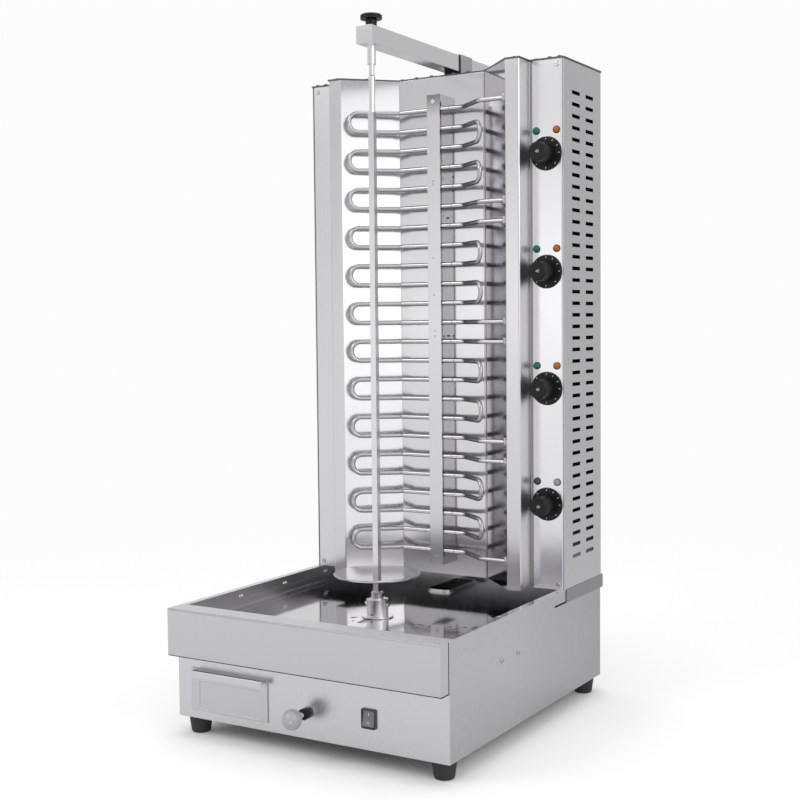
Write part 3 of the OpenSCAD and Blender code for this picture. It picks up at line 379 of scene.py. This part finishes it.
# Second looks for some faces of a node

SQUARE, LEVEL, BENT, BACKWARD = 0.9, 0.97, 0.15, 0.4
PANEL_FACE_Y = 410.7
WING_IN, WING_OUT = 87.5 * MM, 166.5 * MM
RETURN_X = 191 * MM
RETURN_FOOT_DEPTH = 3
RETURN_FOOT_Y = at(0, PANEL_FACE_Y - RETURN_FOOT_DEPTH, 0).y
SLOT_MARGIN = Vector((0, 12, 20)) * MM
SIDE_LOW, SIDE_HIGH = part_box("tower_side_right")
SLOTS_LOW, SLOTS_HIGH = SIDE_LOW + SLOT_MARGIN, SIDE_HIGH - SLOT_MARGIN
ARM_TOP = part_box("arm")[1].z
DRAIN_LOW, DRAIN_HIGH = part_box("drain_chute")
DRAIN_MIDDLE = (DRAIN_LOW.y + DRAIN_HIGH.y) / 2
LIP_H, LIP_DEPTH = 14, 3
DRAWER_LOW, DRAWER_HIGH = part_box("drawer_front")
LIP_FOOT = DRAWER_HIGH.z - LIP_H * MM
LIP_BACK = DRAWER_LOW.y + LIP_DEPTH * MM


def off_wing(face):
    """The faces of a reflector side that aren't on its slanting wing."""
    return not WING_IN < abs(face.center.x) < WING_OUT


def return_side(face):
    """The flat side that runs back from the reflector's front strip to the control panel."""
    return abs(face.normal.x) > SQUARE and abs(face.center.x) > RETURN_X


def return_foot(face):
    """The small bend and foot where that side meets the control panel, painted dark as shade."""
    return abs(face.center.x) > RETURN_X and face.center.y > RETURN_FOOT_Y


def hidden_back(face):
    """The faces of the reflector and the front panels that look into the closed tower, painted near-black as
    shade.
    """
    return face.normal.y > BACKWARD


def among_slots(face):
    """Inside the field of cooling slots, away from the outline of the sheet."""
    low, high = SLOTS_LOW, SLOTS_HIGH
    return low.y < face.center.y < high.y and low.z < face.center.z < high.z


def slot_wall(face):
    """The cut edges of the cooling slots, painted near-black as shade."""
    return abs(face.normal.x) < 0.5 and among_slots(face)


def inner_side(face):
    """The inner face of a tower side, behind the cooling slots, painted near-black as shade."""
    return face.normal.x * face.center.x < 0 and abs(face.normal.x) > SQUARE and among_slots(face)


def front_edge(face):
    """The front edge of a tower side, painted lighter to cover the shade in the groove beside it."""
    return face.normal.y < -SQUARE and not among_slots(face)


def drawer_lip(face):
    """The outer face of the bent lip at the top of the drawer front, painted lighter as light falling on it.
    """
    return face.normal.y < -0.5 and face.center.z > LIP_FOOT and face.center.y < LIP_BACK


def apron_bend(face):
    """The bend between the apron's face and its top, painted darker as shade."""
    return BENT < face.normal.z < LEVEL and face.normal.y < 0


def level_top(face):
    """Flat and facing up."""
    return face.normal.z > LEVEL


def side_wall(face):
    """The walls on the left and right of the tray."""
    return abs(face.normal.x) > SQUARE


def panel_bend(face):
    """The bend at the left of the control panel, painted dark as shade."""
    return -LEVEL < face.normal.x < -BENT


def chute_rear_wall(face):
    """The wall at the rear of the drain, seen through its opening, painted lighter as light reaching it."""
    return face.normal.y < -SQUARE and face.center.y > DRAIN_MIDDLE


def upper_screw(face):
    """The screws at the head of the front panels."""
    return face.center.z > SIDE_HIGH.z / 2


def upper_left_screw(face):
    """The one of these that is on the plain panel."""
    return upper_screw(face) and face.center.x < 0


def below_arm(face):
    """The part of the top pin under the arm."""
    return face.center.z < ARM_TOP


WINGS = ("reflector_right", "reflector_left")
TOWER_SIDES = ("tower_side_right", "tower_side_left")
SECOND_LOOKS = (
    (WINGS, STRIP, off_wing),
    (WINGS, RETURN, return_side),
    (WINGS, BAND_AND_BEND_SHADE, return_foot),
    (("drawer_front",), LIT_LIP_FACE, drawer_lip),
    ((*WINGS, "reflector_back", "control_panel", "plain_panel"), PAINTED_SHADE, hidden_back),
    (("tower_side_right",), PAINTED_SHADE, inner_side),
    (("tower_side_left",), SATIN, front_edge),
    (("apron",), SHADED_APRON_BEND, apron_bend),
    (("apron",), LIT_APRON_TOP, level_top),
    (("drip_tray",), TRAY_WALL, side_wall),
    (TOWER_SIDES, PAINTED_SHADE, slot_wall),
    (("control_panel",), BAND_AND_BEND_SHADE, panel_bend),
    (("drain_chute",), LIT_CHUTE_WALL, chute_rear_wall),
    (("panel_screws",), CONTROL, upper_screw),
    (("panel_screws",), SATIN, upper_left_screw),
    (("top_pin",), BRIGHT, below_arm),
)


def paint_where(name, look, test):
    """A second look for the faces of a node that pass the test."""
    mesh = NODES[name].data
    mesh.materials.append(look)
    index = len(mesh.materials) - 1
    for face in mesh.polygons:
        if test(face):
            face.material_index = index


for names, look, test in SECOND_LOOKS:
    for name in names:
        paint_where(name, look, test)


# Small pieces that the solids leave out

FORWARD = Vector((0, -1, 0))
UP = Vector((0, 0, 1))
RIGHT = Vector((1, 0, 0))


def piece(name, shape, look, body="frame"):
    """A finished mesh piece that moves with its body."""
    mesh = bpy.data.meshes.new(name)
    shape.to_mesh(mesh)
    shape.free()
    mesh.materials.append(look)
    obj = bpy.data.objects.new(name, mesh)
    SCENE.collection.objects.link(obj)
    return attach(obj, body)


def facing(place, out):
    """The turn and shift that carry a shape drawn on the flat, with +Z outward, to a place on a surface."""
    return Matrix.Translation(place) @ out.to_track_quat("Z", "Y").to_matrix().to_4x4()


def add_dome(shape, place, out, radius, proud, sides=16):
    """A low dome that stands proud of a surface, in millimetres."""
    turn = facing(place, out)
    rings = ((1.0, 0.0), (0.85, 0.6), (0.5, 0.92))
    loops = []
    for share, rise in rings:
        loops.append([shape.verts.new(turn @ (Vector((
            math.cos(a) * radius * share, math.sin(a) * radius * share, proud * rise)) * MM))
            for a in (2 * math.pi * k / sides for k in range(sides))])
    for low, high in zip(loops, loops[1:]):
        for k in range(sides):
            shape.faces.new((low[k], low[(k + 1) % sides], high[(k + 1) % sides], high[k]))
    shape.faces.new(loops[-1])
    shape.faces.new(loops[0][::-1])


def add_bar(shape, place, out, along, length, width, proud):
    """A small bar on a surface with its long side in the direction along, its top edges drawn in."""
    across = out.cross(along).normalized()
    corners = []
    for rise, inset in ((0.0, 0.0), (proud, min(width, length) * 0.15)):
        for a, b in ((-1, -1), (1, -1), (1, 1), (-1, 1)):
            corners.append(shape.verts.new(place + MM * (
                along * a * (length / 2 - inset) + across * b * (width / 2 - inset) + out * rise)))
    for k in range(4):
        shape.faces.new((corners[k], corners[(k + 1) % 4], corners[4 + (k + 1) % 4], corners[4 + k]))
    shape.faces.new(corners[4:])
    shape.faces.new(corners[3::-1])
    bmesh.ops.recalc_face_normals(shape, faces=shape.faces)


def add_ring(shape, place, out, radius, thick, sides=48, tube=8):
    """A round wire ring lying on a surface."""
    turn = facing(place, out)
    loops = []
    for k in range(sides):
        a = 2 * math.pi * k / sides
        loops.append([shape.verts.new(turn @ (Vector((
            math.cos(a) * (radius + thick * math.cos(b)), math.sin(a) * (radius + thick * math.cos(b)),
            thick * math.sin(b))) * MM)) for b in (2 * math.pi * n / tube for n in range(tube))])
    for k in range(sides):
        here, there = loops[k], loops[(k + 1) % sides]
        for n in range(tube):
            shape.faces.new((here[n], there[n], there[(n + 1) % tube], here[(n + 1) % tube]))


# Knob marks

KNOB_X = 224.5
KNOB_TOP_Z = 961.6
KNOB_PITCH = 200
SKIRT_FACE_Y = 407.3
CAP_FACE_Y = 372.3
MARK_R = 24.6
RIM_R = 27.4
MARK_PROUD = 0.2
TICK_L, TICK_W = 3.0, 0.9
DOT_R = 1.0
CAP_RING_R, CAP_RING_THICK, CAP_RING_X = 2.0, 0.35, 1.0
CAP_LINE_L, CAP_LINE_W, CAP_LINE_X = 3.6, 0.8, -1.5
RIM_THICK = 0.45
KNOB_DOTS = (4.5, 7.5)
KNOB_TICKS = (12, 1, 2, 3, 6, 9, 10.5)


def clock(hour):
    """The direction of an hour on a clock face that looks forward."""
    angle = math.radians(30 * hour)
    return RIGHT * math.sin(angle) + UP * math.cos(angle)


def make_knob_marks(index):
    """The printed scale of one knob, its raised rim and the small mark on its cap."""
    body = f"knob_unit_{index + 1}"
    z = KNOB_TOP_Z - KNOB_PITCH * index
    centre = at(KNOB_X, SKIRT_FACE_Y, z)
    marks = bmesh.new()
    for hour in KNOB_TICKS:
        add_bar(marks, centre + clock(hour) * MARK_R * MM, FORWARD, clock(hour), TICK_L, TICK_W, MARK_PROUD)
    for hour in KNOB_DOTS:
        add_dome(marks, centre + clock(hour) * MARK_R * MM, FORWARD, DOT_R, MARK_PROUD, 10)
    cap = at(KNOB_X, CAP_FACE_Y, z)
    slanting = (RIGHT + UP).normalized()
    add_ring(marks, cap + RIGHT * CAP_RING_X * MM, FORWARD, CAP_RING_R, CAP_RING_THICK, 16, 6)
    add_bar(marks, cap + RIGHT * CAP_LINE_X * MM, FORWARD, slanting, CAP_LINE_L, CAP_LINE_W, MARK_PROUD)
    piece(f"knob_marks_{index + 1}", marks, WHITE_MARK_AND_HIGHLIGHT, body)
    rim = bmesh.new()
    add_ring(rim, centre, FORWARD, RIM_R, RIM_THICK)
    piece(f"knob_rim_{index + 1}", rim, BLACK, body)


for index in range(4):
    make_knob_marks(index)


# Lamps

LAMP_SPREAD = 37.3
LAMP_RISE = 39
LENS_R, LENS_H, LENS_FACETS = 5.6, 6.5, 12
BEZEL_R, BEZEL_H = 6.6, 2.4


def add_lens(shape, place, look):
    """One faceted lens in its dark rim, on the control panel."""
    turn = facing(place, FORWARD)
    rings = ((BEZEL_R, 0, 0, 1), (BEZEL_R, BEZEL_H * 0.7, 0.5, 1), (LENS_R + 0.2, BEZEL_H, 0, 1),
             (LENS_R, BEZEL_H + 0.8, 0.5, look), (LENS_R * 0.82, LENS_H * 0.72, 0, look),
             (LENS_R * 0.5, LENS_H * 0.93, 0.5, look), (LENS_R * 0.2, LENS_H, 0, look))
    loops = []
    for radius, rise, shift, _ in rings:
        angles = [2 * math.pi * (k + shift) / LENS_FACETS for k in range(LENS_FACETS)]
        loops.append([shape.verts.new(turn @ (Vector((math.cos(a) * radius, math.sin(a) * radius, rise)) * MM))
                      for a in angles])
    for low, high, ring in zip(loops, loops[1:], rings[1:]):
        for k in range(LENS_FACETS):
            face = shape.faces.new((low[k], low[(k + 1) % LENS_FACETS], high[(k + 1) % LENS_FACETS], high[k]))
            face.material_index = ring[3]
    shape.faces.new(loops[-1]).material_index = look
    shape.faces.new(loops[0][::-1]).material_index = 1


def make_lamps(node, side, lit, unlit):
    """The four lamps of one colour: three lit and the lowest one off."""
    shape = bmesh.new()
    for index in range(4):
        z = KNOB_TOP_Z - KNOB_PITCH * index + LAMP_RISE
        add_lens(shape, at(KNOB_X + side * LAMP_SPREAD / 2, PANEL_FACE_Y, z), 2 if index == 3 else 0)
    obj = piece(f"{node}_lenses", shape, lit)
    obj.data.materials.append(GLOSSY_BLACK)
    obj.data.materials.append(unlit)
    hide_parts(node)


make_lamps("lamps_green", -1, GREEN, GREEN_OFF)
make_lamps("lamps_amber", 1, AMBER, AMBER_OFF)


# Rocker marks

ROCKER_LINE_AT, ROCKER_LINE_L, ROCKER_LINE_W, ROCKER_LINE_PROUD = (117, -1.7, 85.9), 4.5, 0.9, 0.25
ROCKER_RING_AT, ROCKER_RING_R, ROCKER_RING_THICK = (117, -3.5, 73.1), 2.0, 0.35


def make_rocker_marks():
    """A line on the upper half of the rocker and a ring on the lower half."""
    marks = bmesh.new()
    add_bar(marks, at(*ROCKER_LINE_AT), FORWARD, UP, ROCKER_LINE_L, ROCKER_LINE_W, ROCKER_LINE_PROUD)
    add_ring(marks, at(*ROCKER_RING_AT), FORWARD, ROCKER_RING_R, ROCKER_RING_THICK, 20, 6)
    piece("rocker_marks", marks, WHITE_MARK_AND_HIGHLIGHT, "rocker_unit")


make_rocker_marks()


# Painted highlight on the ball

BALL_LOW, BALL_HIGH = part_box("ball_knob")
BALL_MIDDLE = (BALL_LOW + BALL_HIGH) / 2
BALL_R = (BALL_HIGH.x - BALL_LOW.x) / 2
BALL_HIGHLIGHT_OUT = Vector((0.47, -0.88, 0.03))
BALL_HIGHLIGHT_R, BALL_HIGHLIGHT_THICK, BALL_HIGHLIGHT_SUNK = 1.6, 0.3, 0.1


def make_ball_highlight():
    """A small bright ring on the ball: a painted highlight."""
    out = BALL_HIGHLIGHT_OUT.normalized()
    mark = bmesh.new()
    place = BALL_MIDDLE + out * (BALL_R - BALL_HIGHLIGHT_SUNK * MM)
    add_ring(mark, place, out, BALL_HIGHLIGHT_R, BALL_HIGHLIGHT_THICK, 20, 6)
    piece("ball_highlight", mark, WHITE_MARK_AND_HIGHLIGHT, "carriage_unit")


make_ball_highlight()


# Dimples and screws on the tray's walls, painted white as highlights

WALL_X = 244
DIMPLE_ROWS = ((185, 1.2), (197, 0.7))
DIMPLE_START, DIMPLE_END, DIMPLE_PITCH = 103, 427, 10
WALL_SCREW_Y = (153, 283, 415)
WALL_SCREW_Z = 202.5
WALL_SCREW_APART = 6.5
WALL_SCREW_R, WALL_SCREW_PROUD = 2.4, 1.2
DOT_PROUD = 0.3


def make_tray_dimples(side, name):
    """Two rows of punched dimples along a side wall of the tray, and the screws above them, painted white as
    highlights.
    """
    dimples = bmesh.new()
    inward = -side * RIGHT
    for z, radius in DIMPLE_ROWS:
        for step in range(int((DIMPLE_END - DIMPLE_START) / DIMPLE_PITCH) + 1):
            place = at(side * WALL_X, DIMPLE_START + step * DIMPLE_PITCH, z)
            add_dome(dimples, place, inward, radius, DOT_PROUD, 10)
    piece(f"tray_dimple_highlights_{name}", dimples, WHITE_MARK_AND_HIGHLIGHT)
    screws = bmesh.new()
    for y in WALL_SCREW_Y:
        for shift in (-0.5, 0.5):
            place = at(side * WALL_X, y + shift * WALL_SCREW_APART, WALL_SCREW_Z)
            add_dome(screws, place, inward, WALL_SCREW_R, WALL_SCREW_PROUD, 14)
    piece(f"tray_wall_screw_highlights_{name}", screws, WHITE_MARK_AND_HIGHLIGHT)


make_tray_dimples(1, "right")
make_tray_dimples(-1, "left")


# Specks on the tray floor, listed as pixels of the photograph

COLLAR_RISE = 4.5
TRAY_FLOOR_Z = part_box("drain_collar")[1].z / MM - COLLAR_RISE
TRAY_SPECK_PIXELS = (
    (410.3, 622.8), (413.7, 624.2), (419.4, 624.6), (422.8, 625.3), (429.2, 626.2), (434.2, 623.9),
    (446.7, 623.5), (450.1, 626.9), (454.7, 629.2), (459.7, 628), (457, 631.5), (464.9, 627.6),
    (447.8, 636), (404.6, 598), (352.8, 617.4), (353, 620.8), (355.5, 617.2), (324.6, 602.6),
    (324.6, 605.2), (327, 602.8), (327.3, 591), (398, 636.7), (396.8, 633.3), (440, 622.5), (405, 627.5),
)
SPECK_R, SPECK_STEP = 2.4, 0.7


def make_tray_specks():
    """The small dark marks scattered over the tray floor round the cup."""
    specks = bmesh.new()
    for index, pixel in enumerate(TRAY_SPECK_PIXELS):
        place = seen_on(AXIS_Z, TRAY_FLOOR_Z, pixel)
        add_dome(specks, place, UP, SPECK_R + SPECK_STEP * (index % 3), DOT_PROUD, 10)
    piece("tray_specks", specks, SPECK)


make_tray_specks()


# Painted shade of small holes on the strip and behind it

STRIP_FACE_Y, STRIP_DOT_R = 418, 1.1
STRIP_DOT_PIXELS = ((432, 102), (433, 181), (433, 184), (433, 258), (434, 295), (435, 331), (435, 336))
FLANK_X, FLANK_DOT_R = 13, 1.4
FLANK_DOTS = ((427, 965), (429, 932), (430, 650), (431, 868))
BACK_FACE_Y, BACK_DOT_R, BACK_DOT_PROUD = 444.9, 1.5, 0.4
BACK_DOTS = ((14.5, 652), (23.3, 652), (24.6, 938), (24.4, 913), (14.0, 865))


def make_strip_dots():
    """The small dark dots down the strip and the channel behind it, painted near-black as the shade of small
    holes, and the dark marks on the reflector's back.
    """
    dots = bmesh.new()
    for pixel in STRIP_DOT_PIXELS:
        add_dome(dots, seen_on(AXIS_Y, STRIP_FACE_Y, pixel), FORWARD, STRIP_DOT_R, DOT_PROUD, 10)
    for y, z in FLANK_DOTS:
        add_dome(dots, at(FLANK_X, y, z), RIGHT, FLANK_DOT_R, DOT_PROUD, 10)
    for x, z in BACK_DOTS:
        add_dome(dots, at(x, BACK_FACE_Y, z), FORWARD, BACK_DOT_R, BACK_DOT_PROUD, 10)
    piece("strip_spots", dots, PAINTED_SHADE)


make_strip_dots()


# Crimps on the heating elements

RUN_TOP_Z, RUN_PITCH, RUN_COUNT = 1057.5, 34.6, 24
RUN_Y, RUN_R = 424.1, 4.0
CRIMP_X, CRIMP_THICK = (31, 37, 34), 0.45


def make_crimps():
    """The dark ring where the cold end of each run is crimped on."""
    rings = bmesh.new()
    for run in range(RUN_COUNT):
        place = at(CRIMP_X[run % len(CRIMP_X)], RUN_Y, RUN_TOP_Z - run * RUN_PITCH)
        add_ring(rings, place, RIGHT, RUN_R, CRIMP_THICK, 20, 6)
    piece("element_crimps", rings, CRIMP)


make_crimps()


# Floor, world and lamps

FLOOR_SIZE = 40
FLOOR_TONE = 0.8
FLOOR_LIFT = 0.25
BASE_HALF = (0.256, 0.287)
FLOOR_BEHIND = 0.7
LIFT_FROM, LIFT_TO = -0.06, 0.03
BEHIND_FROM, BEHIND_TO = -0.5, 0.5
FADE_FROM, FADE_TO = 0.8, 1.9
MOTTLE_SCALE, MOTTLE_SHARE = 3, 0.985
PAPER_WHITE = 0.974


def background_rays(t):
    """One for the rays that look at the background: the camera's, and those off metal and through glass."""
    path = t.node("ShaderNodeLightPath")
    both = t.math("MAXIMUM", path.outputs["Is Camera Ray"], path.outputs["Is Glossy Ray"])
    return t.math("MAXIMUM", both, path.outputs["Is Transmission Ray"])


def floor_material():
    """Pale paper that takes the shadow near the object and runs out into the even white of the backdrop."""
    material, t = new_material("floor")
    coords = t.node("ShaderNodeTexCoord").outputs["Object"]
    mottle = t.noise(coords, MOTTLE_SCALE, 3.0)
    color = t.mix_color(mottle, (FLOOR_TONE,) * 3, (FLOOR_TONE * MOTTLE_SHARE,) * 3)
    diffuse = t.node("ShaderNodeBsdfDiffuse", {"Color": color}).outputs[0]
    seen = t.node("ShaderNodeLightPath").outputs["Is Camera Ray"]
    place = t.node("ShaderNodeSeparateXYZ", {0: coords})
    past_side = t.math("SUBTRACT", t.math("ABSOLUTE", place.outputs["X"], 0.0), BASE_HALF[0])
    past_front = t.math("SUBTRACT", t.math("ABSOLUTE", place.outputs["Y"], 0.0), BASE_HALF[1])
    clear = t.ramp(t.math("MAXIMUM", past_side, past_front), LIFT_FROM, LIFT_TO, 0.0, FLOOR_LIFT)
    lift = t.node("ShaderNodeEmission", {
        "Color": (1, 1, 1, 1), "Strength": t.math("MULTIPLY", seen, clear)}).outputs[0]
    near = t.node("ShaderNodeAddShader", {0: diffuse, 1: lift}).outputs[0]
    behind = t.ramp(place.outputs["Y"], BEHIND_FROM, BEHIND_TO, PAPER_WHITE, FLOOR_BEHIND)
    level = t.math("MAXIMUM", behind, t.math("MULTIPLY", seen, PAPER_WHITE))
    far = t.node("ShaderNodeEmission", {"Color": (1, 1, 1, 1), "Strength": level}).outputs[0]
    distance = t.node("ShaderNodeVectorMath", {0: coords}, {"operation": "LENGTH"}).outputs["Value"]
    fade = t.math("MULTIPLY", t.ramp(distance, FADE_FROM, FADE_TO, 0.0, 1.0), background_rays(t))
    return finish_material(material, t, t.node("ShaderNodeMixShader", {0: fade, 1: near, 2: far}).outputs[0])


def make_floor():
    """A wide flat sheet under the feet."""
    mesh = bpy.data.meshes.new("floor")
    half = FLOOR_SIZE / 2
    corners = [(-half, -half, 0), (half, -half, 0), (half, half, 0), (-half, half, 0)]
    mesh.from_pydata(corners, [], [(0, 1, 2, 3)])
    mesh.materials.append(floor_material())
    floor = bpy.data.objects.new("floor", mesh)
    SCENE.collection.objects.link(floor)


WORLD_BASE = 0.85
WORLD_LOBES = (
    ((0.87, -0.47, -0.05), 10, 0.75),
    ((-0.4, -0.915, -0.02), 90, 0.9),
    ((0.515, 0.857, 0.1), 5, -0.2),
    ((0.0, 0.0, 1.0), 4, -0.3),
    ((-0.43, -0.83, 0.36), 14, -0.3),
)


def make_world():
    """Soft light from all sides, and plain white where the camera sees the background."""
    world = bpy.data.worlds.new("world")
    world.use_nodes = True
    SCENE.world = world
    t = Tree(world.node_tree)
    direction = t.node("ShaderNodeTexCoord").outputs["Generated"]

    def lobe(toward, sharp, strength):
        """A soft bright or dark patch of the studio in one direction."""
        along = t.node("ShaderNodeVectorMath", {0: direction, 1: Vector(toward).normalized()},
                       {"operation": "DOT_PRODUCT"}).outputs["Value"]
        return t.math("MULTIPLY", t.math("POWER", t.math("MAXIMUM", along, 0.0), sharp), strength)

    level = WORLD_BASE
    for patch in WORLD_LOBES:
        level = t.math("ADD", level, lobe(*patch))
    seen = t.node("ShaderNodeLightPath").outputs["Is Camera Ray"]
    studio = t.node("ShaderNodeBackground", {"Color": (1, 0.998, 1, 1), "Strength": level}).outputs[0]
    paper = t.node("ShaderNodeBackground", {"Color": (PAPER_WHITE,) * 3 + (1,), "Strength": 1.0}).outputs[0]
    t.node("ShaderNodeOutputWorld", {"Surface": t.node("ShaderNodeMixShader", {
        0: seen, 1: studio, 2: paper}).outputs[0]})


LAMPS = (
    ("key_lamp", (-1.6, -2.4, 2.8), (0, 0, 0.5), (1.6, 1.6), 26),
    ("side_lamp", (2.8, -0.8, 2.0), (0, 0, 0.5), (1.0, 2.0), 14),
    ("top_lamp", (0, 0.4, 3.2), (0, 0, 0), (2.2, 2.2), 20),
)


def area_lamp(name, place, target, size, power):
    """A large soft lamp that looks at the target."""
    data = bpy.data.lights.new(name, "AREA")
    data.shape = "RECTANGLE"
    data.size, data.size_y = size
    data.energy = power
    lamp = bpy.data.objects.new(name, data)
    lamp.location = Vector(place)
    lamp.rotation_euler = (Vector(target) - Vector(place)).to_track_quat("-Z", "Y").to_euler()
    SCENE.collection.objects.link(lamp)


make_floor()
make_world()
for lamp in LAMPS:
    area_lamp(*lamp)

SCENE.view_settings.view_transform = "Standard"
